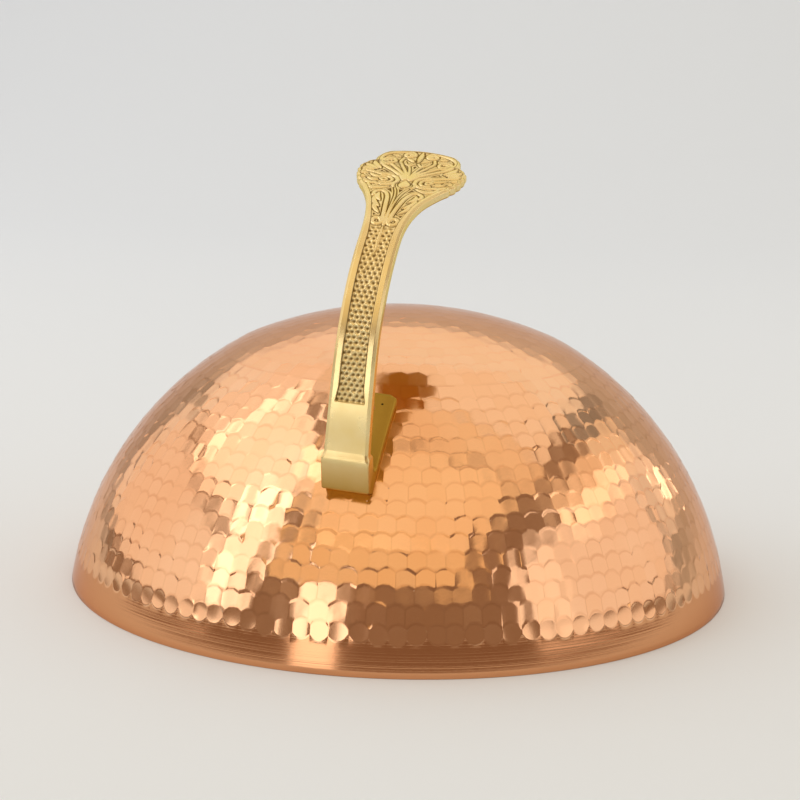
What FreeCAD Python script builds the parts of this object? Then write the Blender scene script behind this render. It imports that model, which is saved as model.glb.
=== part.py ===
"""Hammered copper dome lid with a cast brass lift handle.

Millimetres. The origin is the centre of the rim, on the surface that the lid rests on. +Z is up and
the handle stands on the -Y side.
"""
import FreeCAD, Part
import math
import os

import Sketcher
from FreeCAD import Placement, Rotation, Vector

doc = FreeCAD.newDocument("copper_lid")

# Driving dimensions, lengths in millimetres and angles in degrees

DIMENSIONS = {
    # Dome: a ball-shaped side, a soft shoulder and a flatter crown
    "rim_radius": 170.0,
    "side_radius": 172.3,
    "shoulder_radius": 30.0,
    "crown_radius": 205.0,
    "lid_height": 140.5,
    "sheet_thickness": 1.2,
    # Handle, seen from the side: an upright strap, a bend and a thumb plate
    "strap_reach": 148.8,
    "strap_thickness": 7.0,
    "strap_foot": 86.0,
    "bend_height": 129.5,
    "bend_radius": 81.0,
    "bend_back_radius": 77.5,
    "plate_slope": 18.5,
    "plate_length": 55.4,
    "plate_edge": 4.0,
    # Handle, seen square to its plate and measured from the end of the bend
    "strap_width": 18.5,
    "strap_tail": 110.0,
    "foot_flare_start": 62.0,
    "foot_flare_radius": 380.0,
    "flare_start": 31.0,
    "flare_radius": 88.0,
    "lobe_start": 10.5,
    "lobe_half": 26.0,
    "lobe_along": 30.5,
    "notch_half": 20.2,
    "notch_along": 39.8,
    "corner_radius": 11.5,
    "tip_radius": 40.0,
    # Handle: room that the two outlines leave round each other before they are cut to one shape
    "blank_width": 80.0,
    "plan_depth": 290.0,
    # Handle: sunk panel along the strap's front
    "panel_border": 3.4,
    "panel_depth": 0.9,
    "panel_proud": 2.0,
    "panel_foot": 119.0,
    "panel_top": 2.0,
    # Handle: folded foot, a block in front and a leaf on the dome
    "foot_width": 22.2,
    "foot_bottom": 76.2,
    "block_bottom_reach": 143.5,
    "block_bottom": 77.5,
    "block_top_reach": 149.8,
    "block_top": 92.5,
    "block_shoulder": 96.0,
    "leaf_thickness": 3.5,
    "leaf_top_angle": 54.6,
    "seat_gap": 0.05,
    # The handle sits a little off square, turned about the middle of its leaf
    "seat_angle": 45.6,
    "seat_turn": -5.4,
    # Rounded edges
    "fold_fillet": 4.0,
    "foot_fillet": 1.4,
    "leaf_fillet": 3.0,
    # Rivets
    "rivet_radius": 2.5,
    "rivet_clearance": 0.05,
    "rivet_head_radius": 5.0,
    "rivet_face_radius": 3.6,
    "rivet_head_height": 1.6,
    "rivet_upper_angle": 51.4,
    "rivet_lower_angle": 44.2,
    "drill_length": 20.0,
}
SHEET = "dim"
# An edge counts as the one at a known place when its middle lies this near
NEAR = 0.3
START, END, CENTRE = 1, 2, 3
ORIGIN = (-1, 1)
X_AXIS, Y_AXIS = -1, -2


def make_sheet():
    """Keep the driving dimensions in a sheet, one named cell each."""
    cells = doc.addObject("Spreadsheet::Sheet", SHEET)
    for row, (name, value) in enumerate(DIMENSIONS.items(), start=1):
        cells.set("A%d" % row, name)
        cells.set("B%d" % row, str(value))
        cells.setAlias("B%d" % row, name)
    doc.recompute()
    return cells


sheet = make_sheet()


def size(name):
    """A driving dimension's value, read from the sheet."""
    return float(sheet.get(name))


def along(centre, towards, radius):
    """The point at a radius from a centre, in the direction of another point."""
    reach = math.hypot(towards[0] - centre[0], towards[1] - centre[1])
    return tuple(c + radius * (t - c) / reach for c, t in zip(centre, towards))


def meeting_point(centre_a, radius_a, centre_b, radius_b, side):
    """Where two circles meet, on the left (+1) or right (-1) of the line from a to b."""
    dx, dy = centre_b[0] - centre_a[0], centre_b[1] - centre_a[1]
    gap = math.hypot(dx, dy)
    foot = (radius_a ** 2 - radius_b ** 2 + gap ** 2) / (2 * gap)
    rise = side * math.sqrt(radius_a ** 2 - foot ** 2)
    return (centre_a[0] + (foot * dx - rise * dy) / gap, centre_a[1] + (foot * dy + rise * dx) / gap)


def level_centre(peak, other):
    """Centre and radius of the arc through another point that has its widest point at a peak."""
    inward, rise = peak[0] - other[0], peak[1] - other[1]
    radius = (inward ** 2 + rise ** 2) / (2 * inward)
    return (peak[0] - radius, peak[1]), radius


def where_line_meets(start, direction, centre, radius):
    """Where a line that comes from outside a circle first meets it."""
    offset = [s - c for s, c in zip(start, centre)]
    length = math.hypot(*direction)
    closing = -sum(o * d for o, d in zip(offset, direction)) / length
    gap = math.hypot(*offset)
    run = closing - math.sqrt(radius ** 2 - gap ** 2 + closing ** 2)
    return tuple(s + run * d / length for s, d in zip(start, direction))


class Outline:
    """A sketch on one of a body's own planes, drawn edge by edge, with its sizes tied to the sheet."""

    def __init__(self, body, name, plane, offset=None):
        support = [f for f in body.Origin.OriginFeatures if f.Role == plane][0]
        self.sketch = body.newObject("Sketcher::SketchObject", name)
        self.sketch.AttachmentSupport = [(support, "")]
        self.sketch.MapMode = "FlatFace"
        if offset:
            self.sketch.AttachmentOffset = offset

    def line(self, start, end):
        return self.sketch.addGeometry(Part.LineSegment(Vector(*start), Vector(*end)))

    def arc(self, centre, radius, start, end):
        """An arc about a centre, counter-clockwise between the directions of two points."""
        circle = Part.Circle(Vector(*centre), Vector(0, 0, 1), radius)
        first, last = [math.atan2(p[1] - centre[1], p[0] - centre[0]) for p in (start, end)]
        return self.sketch.addGeometry(Part.ArcOfCircle(circle, first, last))

    def tie(self, kind, *places):
        self.sketch.addConstraint(Sketcher.Constraint(kind, *places))

    def join(self, *ends):
        """Join neighbouring edges, given as the two ends that meet, again and again."""
        for first, second in zip(ends[0::2], ends[1::2]):
            self.tie("Coincident", *first, *second)

    def measure(self, kind, places, formula):
        """A size that follows a formula of the sheet, drawn first as the edges lie."""
        index = self.sketch.addConstraint(Sketcher.Constraint(kind, *places, self.drawn(kind, places)))
        unit = "deg" if kind == "Angle" else "mm"
        self.sketch.setExpression("Constraints[%d]" % index, "(%s) * 1 %s" % (formula, unit))

    def drawn(self, kind, places):
        """The size as the sketch's edges are drawn."""
        if kind == "Radius":
            return self.sketch.Geometry[places[0]].Radius
        if kind in ("DistanceX", "DistanceY"):
            step = self.sketch.getPoint(*places[2:]) - self.sketch.getPoint(*places[:2])
            return step.x if kind == "DistanceX" else step.y
        run = self.sketch.getPoint(places[0], END) - self.sketch.getPoint(places[0], START)
        return math.atan2(run.y, run.x) if kind == "Angle" else run.Length

    def place(self, edge, end, x_formula=None, y_formula=None):
        """Fix a point by its distances from the sketch's origin."""
        if x_formula:
            self.measure("DistanceX", (*ORIGIN, edge, end), x_formula)
        if y_formula:
            self.measure("DistanceY", (*ORIGIN, edge, end), y_formula)


def new_body(name):
    return doc.addObject("PartDesign::Body", name)


def pad_both_ways(body, outline, name, formula):
    """Thicken an outline by the same amount to both sides of its plane."""
    pad = body.newObject("PartDesign::Pad", name)
    pad.Profile = outline.sketch
    pad.SideType = "Symmetric"
    pad.setExpression("Length", "(%s) * 1 mm" % formula)
    outline.sketch.Visibility = False
    doc.recompute()
    return pad


def revolve(body, outline, name):
    """Turn an outline a full turn about its own upright axis."""
    turned = body.newObject("PartDesign::Revolution", name)
    turned.Profile = outline.sketch
    turned.ReferenceAxis = (outline.sketch, ["V_Axis"])
    turned.Angle = 360
    doc.recompute()
    return turned


def combine(kind, name, base, tool):
    """A boolean of two objects, named for what it makes."""
    result = doc.addObject("Part::" + kind, name)
    result.Base = base
    result.Tool = tool
    doc.recompute()
    return result


def round_edges(body, name, formula, wanted):
    """Fillet the edges of a body's newest feature whose middle passes a test."""
    base = body.Tip
    chosen = ["Edge%d" % i for i, edge in enumerate(base.Shape.Edges, start=1) if wanted(edge)]
    fillet = body.newObject("PartDesign::Fillet", name)
    fillet.Base = (base, chosen)
    fillet.setExpression("Radius", "(%s) * 1 mm" % formula)
    doc.recompute()
    return fillet


# The ball that the dome's side belongs to has its centre this far below the rim

SIDE_DROP = "sqrt(dim.side_radius^2 - dim.rim_radius^2)"
side_centre = (0.0, -math.sqrt(size("side_radius") ** 2 - size("rim_radius") ** 2))


# Dome: one sheet, drawn as two faces a sheet's thickness apart and turned about the lid's axis

def make_dome():
    body = new_body("dome_blank")
    outline = Outline(body, "dome_section", "XZ_Plane")
    height, thick = size("lid_height"), size("sheet_thickness")
    side, shoulder, crown = size("side_radius"), size("shoulder_radius"), size("crown_radius")
    crown_centre = (0.0, height - crown)
    shoulder_centre = meeting_point(side_centre, side - shoulder, crown_centre, crown - shoulder, 1)

    def face(inset):
        """One face of the sheet as three arcs, from the rim up to the axis."""
        foot = (math.sqrt((side - inset) ** 2 - side_centre[1] ** 2), 0.0)
        low = along(side_centre, shoulder_centre, side - inset)
        high = along(crown_centre, shoulder_centre, crown - inset)
        arcs = (outline.arc(side_centre, side - inset, foot, low),
                outline.arc(shoulder_centre, shoulder - inset, low, high),
                outline.arc(crown_centre, crown - inset, high, (0.0, height - inset)))
        for below, above in zip(arcs, arcs[1:]):
            outline.tie("Tangent", below, END, above, START)
        outline.tie("PointOnObject", arcs[0], START, X_AXIS)
        return arcs, foot

    outer, outer_foot = face(0.0)
    inner, inner_foot = face(thick)
    axis = outline.line((0.0, height), (0.0, height - thick))
    rim = outline.line(inner_foot, outer_foot)
    outline.join((outer[2], END), (axis, START), (axis, END), (inner[2], END),
                 (inner[0], START), (rim, START), (rim, END), (outer[0], START))
    for outer_arc, inner_arc in zip(outer, inner):
        outline.tie("Coincident", outer_arc, CENTRE, inner_arc, CENTRE)
    for edge, end in ((outer[0], CENTRE), (outer[2], CENTRE), (axis, START), (axis, END)):
        outline.tie("PointOnObject", edge, end, Y_AXIS)
    for arc, name in zip(outer, ("side_radius", "shoulder_radius", "crown_radius")):
        outline.measure("Radius", (arc,), "dim." + name)
    outline.place(outer[0], START, x_formula="dim.rim_radius")
    outline.place(axis, START, y_formula="dim.lid_height")
    outline.measure("DistanceY", (axis, END, axis, START), "dim.sheet_thickness")
    revolve(body, outline, "dome_turned")
    return body


# Handle: the strap from the side, cut to its width by an outline seen square to the thumb plate

BEND_CENTRE = "dim.bend_radius - dim.strap_reach"
BACK_CENTRE = "dim.strap_thickness + dim.bend_back_radius - dim.strap_reach"
bend_centre = (size("bend_radius") - size("strap_reach"), size("bend_height"))
back_centre = (size("strap_thickness") + size("bend_back_radius") - size("strap_reach"), size("bend_height"))
plate_angle = math.radians(size("plate_slope"))
plate_direction = (math.cos(plate_angle), math.sin(plate_angle))
plate_normal = (-math.sin(plate_angle), math.cos(plate_angle))
bend_end = tuple(c + size("bend_radius") * n for c, n in zip(bend_centre, plate_normal))


def strap_band(outline, sides, foot_name):
    """A band along the strap: upright, then round the bend as far as the plate.

    Each side is given by the centre of its bend, its radius, and the formula for the centre's reach.
    """
    arcs, uprights = [], []
    for centre, radius, _ in sides:
        spring = (centre[0] - radius, centre[1])
        top = tuple(c + radius * n for c, n in zip(centre, plate_normal))
        arcs.append(outline.arc(centre, radius, top, spring))
        uprights.append(outline.line((spring[0], size(foot_name)), spring))
    base = outline.line(*[(centre[0] - radius, size(foot_name)) for centre, radius, _ in sides])
    outline.join((base, START), (uprights[0], START), (base, END), (uprights[1], START))
    outline.tie("Horizontal", base)
    for arc, upright, (_, _, reach_formula) in zip(arcs, uprights, sides):
        outline.tie("Tangent", upright, END, arc, END)
        outline.tie("Vertical", upright)
        outline.place(arc, CENTRE, reach_formula, "dim.bend_height")
    outline.place(uprights[0], START, y_formula="dim." + foot_name)
    return arcs


def make_strap_section():
    """The strap and thumb plate from the side, as wide as the plate's lobes need."""
    body = new_body("strap_section")
    outline = Outline(body, "strap_side", "YZ_Plane")
    front, back = size("bend_radius"), size("bend_back_radius")
    sides = ((bend_centre, front, BEND_CENTRE), (back_centre, back, BACK_CENTRE))
    outer, inner = strap_band(outline, sides, "strap_foot")
    tip = tuple(e + size("plate_length") * d for e, d in zip(bend_end, plate_direction))
    tip_under = tuple(t - size("plate_edge") * n for t, n in zip(tip, plate_normal))
    under = tuple(c + back * n for c, n in zip(back_centre, plate_normal))
    top_line = outline.line(bend_end, tip)
    tip_line = outline.line(tip, tip_under)
    under_line = outline.line(under, tip_under)
    outline.tie("Tangent", outer, START, top_line, START)
    outline.tie("Tangent", inner, START, under_line, START)
    outline.join((top_line, END), (tip_line, START), (tip_line, END), (under_line, END))
    outline.tie("Perpendicular", top_line, tip_line)
    outline.measure("Radius", (outer,), "dim.bend_radius")
    outline.measure("Radius", (inner,), "dim.bend_back_radius")
    outline.measure("Angle", (top_line,), "dim.plate_slope")
    outline.measure("Distance", (top_line,), "dim.plate_length")
    outline.measure("Distance", (tip_line,), "dim.plate_edge")
    pad_both_ways(body, outline, "strap_wide", "dim.blank_width")
    return body


plate_view = Placement(Vector(0, *bend_end), Rotation(Vector(1, 0, 0), size("plate_slope")))


def mirror_across(body, feature):
    """Repeat a half on the other side of the handle's middle plane."""
    middle = [f for f in body.Origin.OriginFeatures if f.Role == "YZ_Plane"][0]
    mirrored = body.newObject("PartDesign::Mirrored", feature.Name + "_whole")
    mirrored.Originals = [feature]
    mirrored.MirrorPlane = (middle, [""])
    body.Tip = mirrored
    doc.recompute()


def draw_flare(outline, inset, top):
    """Right edge of the strap, moved in by an inset: widening to the foot, and like a trumpet above."""
    half = size("strap_width") / 2
    waist, neck, tail = (-size(name) for name in ("foot_flare_start", "flare_start", "strap_tail"))

    def curve(name, height, end_height):
        """Centre and radius of a flare, and its point at a height."""
        centre, radius = (half + size(name), height), size(name) + inset
        return centre, radius, (centre[0] - math.sqrt(radius ** 2 - (end_height - height) ** 2), end_height)

    centre, radius, end = curve("flare_radius", neck, top)
    foot_centre, foot_radius, foot = curve("foot_flare_radius", waist, tail)
    straight = outline.line((half - inset, waist), (half - inset, neck))
    flare = outline.arc(centre, radius, end, (half - inset, neck))
    foot_flare = outline.arc(foot_centre, foot_radius, (half - inset, waist), foot)
    base = outline.line((0.0, tail), foot)
    outline.join((base, END), (foot_flare, END))
    outline.tie("Vertical", straight)
    outline.tie("Horizontal", base)
    outline.tie("Tangent", foot_flare, START, straight, START)
    outline.tie("Tangent", straight, END, flare, END)
    outline.tie("PointOnObject", base, START, Y_AXIS)
    outline.place(flare, CENTRE, "dim.strap_width / 2 + dim.flare_radius", "-dim.flare_start")
    outline.place(foot_flare, CENTRE, "dim.strap_width / 2 + dim.foot_flare_radius", "-dim.foot_flare_start")
    outline.place(base, START, y_formula="-dim.strap_tail")
    return base, flare, end


def make_strap_outline():
    """Strap and plate seen square on: flared neck, side lobes, notches and a broad rounded tip."""
    body = new_body("strap_outline")
    outline = Outline(body, "strap_plan", "XY_Plane", plate_view)
    base, flare, lobe_foot = draw_flare(outline, 0.0, size("lobe_start"))
    lobe_peak = (size("lobe_half"), size("lobe_along"))
    notch = (size("notch_half"), size("notch_along"))
    corner, tip = size("corner_radius"), size("tip_radius")
    tip_point = (0.0, size("plate_length"))
    tip_centre = (0.0, tip_point[1] - tip)
    corner_centre = meeting_point(tip_centre, tip - corner, notch, corner, 1)
    blend = along(tip_centre, corner_centre, tip)
    lobe_side = outline.arc(*level_centre(lobe_peak, lobe_foot), lobe_foot, lobe_peak)
    lobe_top = outline.arc(*level_centre(lobe_peak, notch), lobe_peak, notch)
    corner_arc = outline.arc(corner_centre, corner, notch, blend)
    tip_arc = outline.arc(tip_centre, tip, blend, tip_point)
    axis = outline.line(tip_point, (0.0, -size("strap_tail")))
    outline.join((flare, START), (lobe_side, START), (lobe_top, END), (corner_arc, START),
                 (tip_arc, END), (axis, START), (axis, END), (base, START))
    outline.tie("Tangent", lobe_side, END, lobe_top, START)
    outline.tie("Tangent", corner_arc, END, tip_arc, START)
    outline.tie("PointOnObject", tip_arc, CENTRE, Y_AXIS)
    outline.tie("PointOnObject", axis, START, Y_AXIS)
    outline.measure("Radius", (flare,), "dim.flare_radius")
    outline.measure("Radius", (corner_arc,), "dim.corner_radius")
    outline.measure("Radius", (tip_arc,), "dim.tip_radius")
    outline.place(flare, START, y_formula="dim.lobe_start")
    outline.place(lobe_side, CENTRE, y_formula="dim.lobe_along")
    outline.place(lobe_side, END, "dim.lobe_half", "dim.lobe_along")
    outline.place(lobe_top, END, "dim.notch_half", "dim.notch_along")
    outline.place(axis, START, y_formula="dim.plate_length")
    half = pad_both_ways(body, outline, "strap_half", "dim.plan_depth")
    mirror_across(body, half)
    return body


# Handle: the sunk panel, as deep all along, with an even border beside it

def make_panel_band():
    """A thin band that stands out of the strap's front and reaches in to the panel's floor."""
    body = new_body("panel_band")
    outline = Outline(body, "panel_side", "YZ_Plane")
    radii = (size("bend_radius") + size("panel_proud"), size("bend_radius") - size("panel_depth"))
    outer, inner = strap_band(outline, [(bend_centre, radius, BEND_CENTRE) for radius in radii], "panel_foot")
    close = outline.line(*[tuple(c + radius * n for c, n in zip(bend_centre, plate_normal))
                           for radius in radii])
    outline.join((close, START), (outer, START), (close, END), (inner, START))
    outline.tie("PointOnObject", outer, CENTRE, close)
    outline.measure("Angle", (close,), "dim.plate_slope - 90")
    outline.measure("Radius", (outer,), "dim.bend_radius + dim.panel_proud")
    outline.measure("Radius", (inner,), "dim.bend_radius - dim.panel_depth")
    pad_both_ways(body, outline, "panel_wide", "dim.blank_width")
    return body


def make_panel_outline():
    """The panel seen square to the plate: the strap's own flare, moved in by the border."""
    body = new_body("panel_outline")
    outline = Outline(body, "panel_plan", "XY_Plane", plate_view)
    base, flare, top = draw_flare(outline, size("panel_border"), -size("panel_top"))
    lid = outline.line(top, (0.0, top[1]))
    axis = outline.line((0.0, top[1]), (0.0, -size("strap_tail")))
    outline.join((flare, START), (lid, START), (lid, END), (axis, START), (axis, END), (base, START))
    outline.tie("Horizontal", lid)
    outline.tie("PointOnObject", axis, START, Y_AXIS)
    outline.measure("Radius", (flare,), "dim.flare_radius + dim.panel_border")
    outline.place(flare, START, y_formula="-dim.panel_top")
    half = pad_both_ways(body, outline, "panel_half", "dim.plan_depth")
    mirror_across(body, half)
    return body


# Handle: the folded foot, with the block in front and the leaf that follows the dome

def on_ball(radius, angle):
    """A point of the side's ball, in the handle's side view, by its angle above level."""
    turn = math.radians(angle)
    return (-radius * math.cos(turn), side_centre[1] + radius * math.sin(turn))


def make_foot():
    body = new_body("handle_foot")
    outline = Outline(body, "foot_side", "YZ_Plane")
    under = size("side_radius") + size("seat_gap")
    over = under + size("leaf_thickness")
    strap_back = size("strap_thickness") - size("strap_reach")
    lowest = size("foot_bottom") - side_centre[1]
    heel = (-math.sqrt(under ** 2 - lowest ** 2), size("foot_bottom"))
    toe = (-size("block_bottom_reach"), size("block_bottom"))
    brow = (-size("block_top_reach"), size("block_top"))
    ledge = (size("seat_gap") - size("strap_reach"), size("block_shoulder"))
    back = (strap_back, size("block_shoulder"))
    lean = (toe[0] - brow[0], toe[1] - brow[1])
    crook = where_line_meets(back, lean, side_centre, over)
    leaf_over, leaf_under = [on_ball(radius, size("leaf_top_angle")) for radius in (over, under)]
    corners = [heel, toe, brow, ledge, back, crook]
    sole, block, slope, top, inside = [outline.line(a, b) for a, b in zip(corners, corners[1:])]
    leaf_top = outline.arc(side_centre, over, leaf_over, crook)
    leaf_end = outline.line(leaf_over, leaf_under)
    leaf_seat = outline.arc(side_centre, under, leaf_under, heel)
    outline.join((sole, END), (block, START), (block, END), (slope, START), (slope, END), (top, START),
                 (top, END), (inside, START), (inside, END), (leaf_top, END), (leaf_top, START),
                 (leaf_end, START), (leaf_end, END), (leaf_seat, START), (leaf_seat, END), (sole, START))
    outline.tie("Coincident", leaf_top, CENTRE, leaf_seat, CENTRE)
    outline.tie("PointOnObject", leaf_seat, CENTRE, Y_AXIS)
    outline.tie("PointOnObject", leaf_seat, CENTRE, leaf_end)
    outline.tie("Horizontal", top)
    outline.tie("Parallel", inside, block)
    outline.place(leaf_seat, CENTRE, y_formula="-" + SIDE_DROP)
    outline.measure("Radius", (leaf_seat,), "dim.side_radius + dim.seat_gap")
    outline.measure("Radius", (leaf_top,), "dim.side_radius + dim.seat_gap + dim.leaf_thickness")
    outline.measure("Angle", (leaf_end,), "-dim.leaf_top_angle")
    outline.place(sole, START, y_formula="dim.foot_bottom")
    outline.place(sole, END, "-dim.block_bottom_reach", "dim.block_bottom")
    outline.place(block, END, "-dim.block_top_reach", "dim.block_top")
    outline.place(slope, END, "dim.seat_gap - dim.strap_reach", "dim.block_shoulder")
    outline.place(top, END, x_formula="dim.strap_thickness - dim.strap_reach")
    pad_both_ways(body, outline, "foot_pad", "dim.foot_width")

    def crosswise_at(point):
        spot = Vector(0, *point)
        return lambda edge: (edge.CenterOfMass - spot).Length < NEAR < edge.BoundBox.XLength

    def leaf_corner(edge):
        middle = (leaf_over[0] + leaf_under[0]) / 2
        return abs(edge.CenterOfMass.y - middle) < NEAR and edge.BoundBox.XLength < NEAR

    round_edges(body, "fold_inside", "dim.fold_fillet", crosswise_at(crook))
    round_edges(body, "fold_toe", "dim.foot_fillet", crosswise_at(toe))
    round_edges(body, "leaf_corners", "dim.leaf_fillet", leaf_corner)
    return body


# Rivets: through leaf and dome, filed flush outside, with a flat bevelled head against the dome's inside

def rivet_seat(angle):
    """A rivet's place on the dome: its axis stands square to the dome at an angle above level."""
    foot = on_ball(size("side_radius"), angle)
    return Placement(Vector(0, *foot), Rotation(Vector(1, 0, 0), 90.0 - angle))


ball_centre = Vector(0, *side_centre)
seat_normal = Vector(0, *on_ball(1.0, size("seat_angle"))) - ball_centre
handle_seat = Placement(Vector(), Rotation(seat_normal, size("seat_turn")), ball_centre)
rivet_angles = {name: size("rivet_%s_angle" % name) for name in ("upper", "lower")}


def make_rivet(name):
    body = new_body("rivet_" + name)
    body.Label = "handle_rivet_" + name
    outline = Outline(body, "rivet_section_" + name, "XZ_Plane")
    shank, head = size("rivet_radius"), size("rivet_head_radius")
    top = size("seat_gap") + size("leaf_thickness")
    under = -size("sheet_thickness") - 2 * size("seat_gap")
    bottom = under - size("rivet_head_height")
    corners = [(0.0, bottom), (0.0, top), (shank, top), (shank, under), (head, under),
               (size("rivet_face_radius"), bottom)]
    axis, flush, side, seat, bevel, face = [outline.line(a, b)
                                            for a, b in zip(corners, corners[1:] + corners[:1])]
    outline.join((axis, END), (flush, START), (flush, END), (side, START), (side, END), (seat, START),
                 (seat, END), (bevel, START), (bevel, END), (face, START), (face, END), (axis, START))
    outline.tie("PointOnObject", axis, START, Y_AXIS)
    outline.tie("PointOnObject", axis, END, Y_AXIS)
    outline.tie("Horizontal", flush)
    outline.tie("Vertical", side)
    outline.tie("Horizontal", seat)
    outline.tie("Horizontal", face)
    outline.place(flush, END, "dim.rivet_radius", "dim.seat_gap + dim.leaf_thickness")
    outline.place(seat, END, "dim.rivet_head_radius", "-dim.sheet_thickness - 2 * dim.seat_gap")
    outline.place(bevel, END, x_formula="dim.rivet_face_radius")
    outline.measure("DistanceY", (axis, START, seat, END), "dim.rivet_head_height")
    revolve(body, outline, "rivet_turned_" + name)
    body.Placement = handle_seat * rivet_seat(rivet_angles[name])
    return body


def make_rivet_holes(name, seat):
    """Holes for both rivets, long enough to pass the sheet and the leaf."""
    drills = []
    for rivet, angle in rivet_angles.items():
        drill = doc.addObject("Part::Cylinder", "%s_%s" % (name, rivet))
        drill.setExpression("Radius", "(dim.rivet_radius + dim.rivet_clearance) * 1 mm")
        drill.setExpression("Height", "dim.drill_length * 1 mm")
        middle = Placement(Vector(0, 0, -size("drill_length") / 2), Rotation())
        drill.Placement = seat * rivet_seat(angle) * middle
        drills.append(drill)
    return combine("Fuse", name, *drills)


def make_handle():
    strap = combine("Common", "strap", make_strap_section(), make_strap_outline())
    panel = combine("Common", "panel", make_panel_band(), make_panel_outline())
    sunk = combine("Cut", "strap_with_panel", strap, panel)
    blank = combine("Fuse", "handle_blank", sunk, make_foot())
    blank.Refine = True
    return combine("Cut", "lift_handle", blank, make_rivet_holes("leaf_holes", Placement()))


def require(condition, words):
    if not condition:
        raise RuntimeError(words)


def write_parts(pieces):
    """Check every object and each piece's solid, then write one file for each piece."""
    doc.recompute()
    for thing in doc.Objects:
        bad = {"Invalid", "Error"} & set(thing.State)
        require(not bad, "%s is %s" % (thing.Name, bad))
    for piece in pieces:
        shape = piece.Shape
        require(not shape.isNull() and shape.isValid(), piece.Label + " has no valid shape")
        require(len(shape.Solids) == 1, piece.Label + " is not one solid")
        print("%s: %.1f cm3" % (piece.Label, shape.Volume / 1000.0))
    os.makedirs("parts", exist_ok=True)
    for piece in pieces:
        piece.Shape.exportStep("parts/%s.step" % piece.Label)


dome = combine("Cut", "dome_shell", make_dome(), make_rivet_holes("dome_holes", handle_seat))
handle = make_handle()
handle.Placement = handle_seat
rivets = [make_rivet(name) for name in rivet_angles]
write_parts([dome, handle, *rivets])
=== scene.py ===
from math import acos, asin, atan2, cos, dist, hypot, pi, radians, sin, sqrt, tan, tau

import bpy
import numpy as np
from mathutils import Matrix, Vector


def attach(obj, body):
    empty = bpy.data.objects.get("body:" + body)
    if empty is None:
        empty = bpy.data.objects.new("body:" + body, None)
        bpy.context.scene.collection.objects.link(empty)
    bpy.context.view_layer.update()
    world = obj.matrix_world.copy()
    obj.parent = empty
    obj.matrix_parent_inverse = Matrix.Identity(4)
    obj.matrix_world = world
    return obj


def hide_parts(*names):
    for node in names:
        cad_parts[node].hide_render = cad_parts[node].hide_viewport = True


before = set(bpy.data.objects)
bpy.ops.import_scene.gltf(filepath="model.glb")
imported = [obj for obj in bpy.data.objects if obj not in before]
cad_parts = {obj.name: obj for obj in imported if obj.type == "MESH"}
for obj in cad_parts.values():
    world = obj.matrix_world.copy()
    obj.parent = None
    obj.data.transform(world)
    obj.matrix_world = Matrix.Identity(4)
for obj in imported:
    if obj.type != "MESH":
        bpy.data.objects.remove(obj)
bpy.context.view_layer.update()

chance = np.random.default_rng(7)
MM = 0.001

# A hammered copper lid with a cast brass handle. Lengths are millimetres unless a name says otherwise,
# and pieces are put into metres when their mesh is made.

# Dome: a ball-shaped side, a soft shoulder and a flatter crown
RIM_RADIUS = 170.0
SIDE_RADIUS = 172.3
SHOULDER_RADIUS = 30.0
CROWN_RADIUS = 205.0
LID_HEIGHT = 140.5
SHEET = 1.2
WORKED_AWAY = 0.1
FILED_EDGE = 0.3
INSIDE_TURNS = 180
INSIDE_RINGS = 42
CROWN_CLOSES = 3.0

# Hammer marks, struck row by row from the crown down to a band left smooth from spinning
MARK_PITCH = 8.7
ROW_PITCH = 8.02
LOWEST_ROW = 19.6
CROWN_BEGINS = 144.6
CROWN_SOFTNESS = 0.4
MARK_RADIUS = 5.2
LAST_MARK_RADIUS = 4.45
MARK_HOLLOW = 140.0
LAST_MARK_HOLLOW = 70.0
HOLLOW_SPREAD = (0.7, 1.5)
MARK_DEPTH = 0.1
MARK_RISE = 0.115
LEDGE_WIDTH = 0.6
LEDGE_SLOPES = (-0.003, 0.009)
LINE_SHADE_SHARES = (0.1, 1.0)
MARK_TILT = 0.009
MARK_DRIFT = 0.08
ROW_WAVER = 0.3
REACH_WAVER = 0.1
FEWEST_MARKS = 5
DEEPEST_ABOVE = 0.15 * ROW_PITCH
LEAST_ARC = 1.0
PLAIN_TONE = 0.5
BORDER_SHARE = 0.05
MARK_COLUMNS = (0.0, BORDER_SHARE, 0.35, 0.65, 0.95)
MARK_LEVELS = (0.15, 0.5, 0.9)
LAST_MARK_COLUMNS = (0.0, BORDER_SHARE, 0.2, 0.35, 0.5, 0.65, 0.8, 0.95)
LAST_MARK_LEVELS = (0.07, 0.2, 0.35, 0.5, 0.65, 0.8, 0.93)
BAND_LEVELS = (0.0, 0.2, 0.45, 0.7, 0.9)
SAME_TURN = 0.00001

# Handle, seen from the side
STRAP_REACH = 148.8
STRAP_THICKNESS = 7.0
BEND_HEIGHT = 129.5
BEND_RADIUS = 81.0
BEND_BACK_RADIUS = 77.5
PLATE_SLOPE = radians(18.5)
PLATE_LENGTH = 55.4
PLATE_EDGE = 4.0
FOOT_BOTTOM = 76.2
BLOCK_BOTTOM = (143.5, 77.5)
BLOCK_TOP = (149.8, 92.5)
BLOCK_SHOULDER = 96.0
LEAF_THICKNESS = 3.5
LEAF_TOP = radians(54.6)
SEAT_GAP = 0.05
FOLD_FILLET = 4.0
BROW_FILLET = 6.0
TOE_FILLET = 1.4

# Handle, seen square to its plate and measured from the end of the bend
STRAP_WIDTH = 18.5
FOOT_WIDTH = 22.2
FOOT_FLARE_START = 62.0
FOOT_FLARE_RADIUS = 380.0
FLARE_START = 31.0
FLARE_RADIUS = 88.0
LOBE_START = 10.5
LOBE_PEAK = (26.0, 30.5)
NOTCH = (20.2, 39.8)
CORNER_RADIUS = 11.5
TIP_RADIUS = 40.0
LEAF_CORNER = 3.0
SCALLOPS = 6
SCALLOP_DEPTH = 0.8
SCALLOP_FADE = 3.0

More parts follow.
